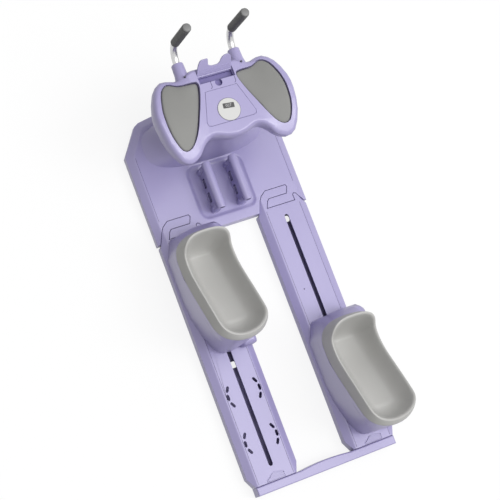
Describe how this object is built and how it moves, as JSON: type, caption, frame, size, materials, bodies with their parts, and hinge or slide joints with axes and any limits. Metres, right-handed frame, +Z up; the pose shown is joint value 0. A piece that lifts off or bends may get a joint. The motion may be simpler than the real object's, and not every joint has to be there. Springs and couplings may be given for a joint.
{
  "type": "kneeling crawl trainer for spinal decompression",
  "caption": "Floor machine with an elbow console, handlebars and two rails; padded knee cups slide along the rails while the user kneels and crawls in place.",
  "frame": {"origin": "on the floor, at the middle of the object's box in plan", "axes": "+Y forward, the way the user faces, from the rear crossbar to the console; +X to the user's right; +Z up"},
  "size_m": [0.459, 1.1884, 0.461],
  "materials": {
    "lavender_plastic": "satin moulded shell with a fine texture",
    "foam": "soft moulded foam with a matt skin",
    "grip_rubber": "ribbed soft rubber",
    "grip_cap": "smooth end cap",
    "chrome": "polished plating",
    "steel": "plain zinc-plated steel",
    "white_plastic": "satin white",
    "display": "dark display window",
    "trolley_plastic": "glass-filled nylon",
    "wheel_plastic": "quiet running tyre",
    "rubber_feet": "matt anti-slip rubber"
  },
  "bodies": {
    "base": {"base_bottom_cover": "lavender_plastic", "base_housing": "lavender_plastic", "console_shell": "lavender_plastic", "console_underside": "lavender_plastic", "counter_body": "white_plastic", "counter_display": "display", "counter_panel": "lavender_plastic", "elbow_pad_left": "foam", "elbow_pad_right": "foam", "foot_base_front_left": "rubber_feet", "foot_base_front_right": "rubber_feet", "foot_base_rear_left": "rubber_feet", "foot_base_rear_right": "rubber_feet", "foot_crossbar_left": "rubber_feet", "foot_crossbar_right": "rubber_feet", "grip_bar_left": "lavender_plastic", "grip_bar_right": "lavender_plastic", "grip_bracket_left": "lavender_plastic", "grip_bracket_right": "lavender_plastic", "grip_cap_left": "grip_cap", "grip_cap_right": "grip_cap", "grip_left": "grip_rubber", "grip_right": "grip_rubber", "handle_tube_left": "chrome", "handle_tube_right": "chrome", "rail_bottom_cover_left": "lavender_plastic", "rail_bottom_cover_right": "lavender_plastic", "rail_left": "lavender_plastic", "rail_right": "lavender_plastic", "rear_crossbar": "lavender_plastic", "socket_screw_left": "steel", "socket_screw_right": "steel", "stand_pin": "steel"},
    "carriage_left": {"knee_carriage_left": "lavender_plastic", "knee_cup_left": "foam", "trolley_left": "trolley_plastic"},
    "wheelset_left_front": {"axle_left_front": "steel", "wheel_left_front_inner": "wheel_plastic", "wheel_left_front_outer": "wheel_plastic"},
    "wheelset_left_rear": {"axle_left_rear": "steel", "wheel_left_rear_inner": "wheel_plastic", "wheel_left_rear_outer": "wheel_plastic"},
    "latch_left": {"latch_left": "lavender_plastic"},
    "carriage_right": {"knee_carriage_right": "lavender_plastic", "knee_cup_right": "foam", "trolley_right": "trolley_plastic"},
    "wheelset_right_front": {"axle_right_front": "steel", "wheel_right_front_inner": "wheel_plastic", "wheel_right_front_outer": "wheel_plastic"},
    "wheelset_right_rear": {"axle_right_rear": "steel", "wheel_right_rear_inner": "wheel_plastic", "wheel_right_rear_outer": "wheel_plastic"},
    "latch_right": {"latch_right": "lavender_plastic"},
    "device_stand": {"device_stand": "lavender_plastic"}
  },
  "joints": [
    {"name": "carriage_left_slide", "type": "slide", "parent": "base", "child": "carriage_left", "axis": [0, 1, 0], "range_m": [-0.344, 0.01]},
    {"name": "wheelset_left_front_spin", "type": "hinge", "parent": "carriage_left", "child": "wheelset_left_front", "pos_m": [-0.15, 0.065, 0.0198], "axis": [1, 0, 0], "range_deg": [-1516.7, 1516.7]},
    {"name": "wheelset_left_rear_spin", "type": "hinge", "parent": "carriage_left", "child": "wheelset_left_rear", "pos_m": [-0.15, -0.147, 0.0198], "axis": [1, 0, 0], "range_deg": [-1516.7, 1516.7]},
    {"name": "latch_left_pull", "type": "slide", "parent": "base", "child": "latch_left", "axis": [0, 1, 0], "range_m": [0, 0.003], "stiffness_N_per_m": 200},
    {"name": "carriage_right_slide", "type": "slide", "parent": "base", "child": "carriage_right", "axis": [0, 1, 0], "range_m": [-0.005, 0.349]},
    {"name": "wheelset_right_front_spin", "type": "hinge", "parent": "carriage_right", "child": "wheelset_right_front", "pos_m": [0.15, -0.274, 0.0198], "axis": [1, 0, 0], "range_deg": [-1516.7, 1516.7]},
    {"name": "wheelset_right_rear_spin", "type": "hinge", "parent": "carriage_right", "child": "wheelset_right_rear", "pos_m": [0.15, -0.486, 0.0198], "axis": [1, 0, 0], "range_deg": [-1516.7, 1516.7]},
    {"name": "latch_right_pull", "type": "slide", "parent": "base", "child": "latch_right", "axis": [0, 1, 0], "range_m": [0, 0.003], "stiffness_N_per_m": 200},
    {"name": "device_stand_tilt", "type": "hinge", "parent": "base", "child": "device_stand", "pos_m": [0, 0.484, 0.3085], "axis": [1, 0, 0], "range_deg": [0, 103]}
  ],
  "couplings": [
    {"joint": "wheelset_left_front_spin", "follows": "carriage_left_slide", "rad_per_m": -74.074},
    {"joint": "wheelset_left_rear_spin", "follows": "carriage_left_slide", "rad_per_m": -74.074},
    {"joint": "wheelset_right_front_spin", "follows": "carriage_right_slide", "rad_per_m": -74.074},
    {"joint": "wheelset_right_rear_spin", "follows": "carriage_right_slide", "rad_per_m": -74.074}
  ]
}
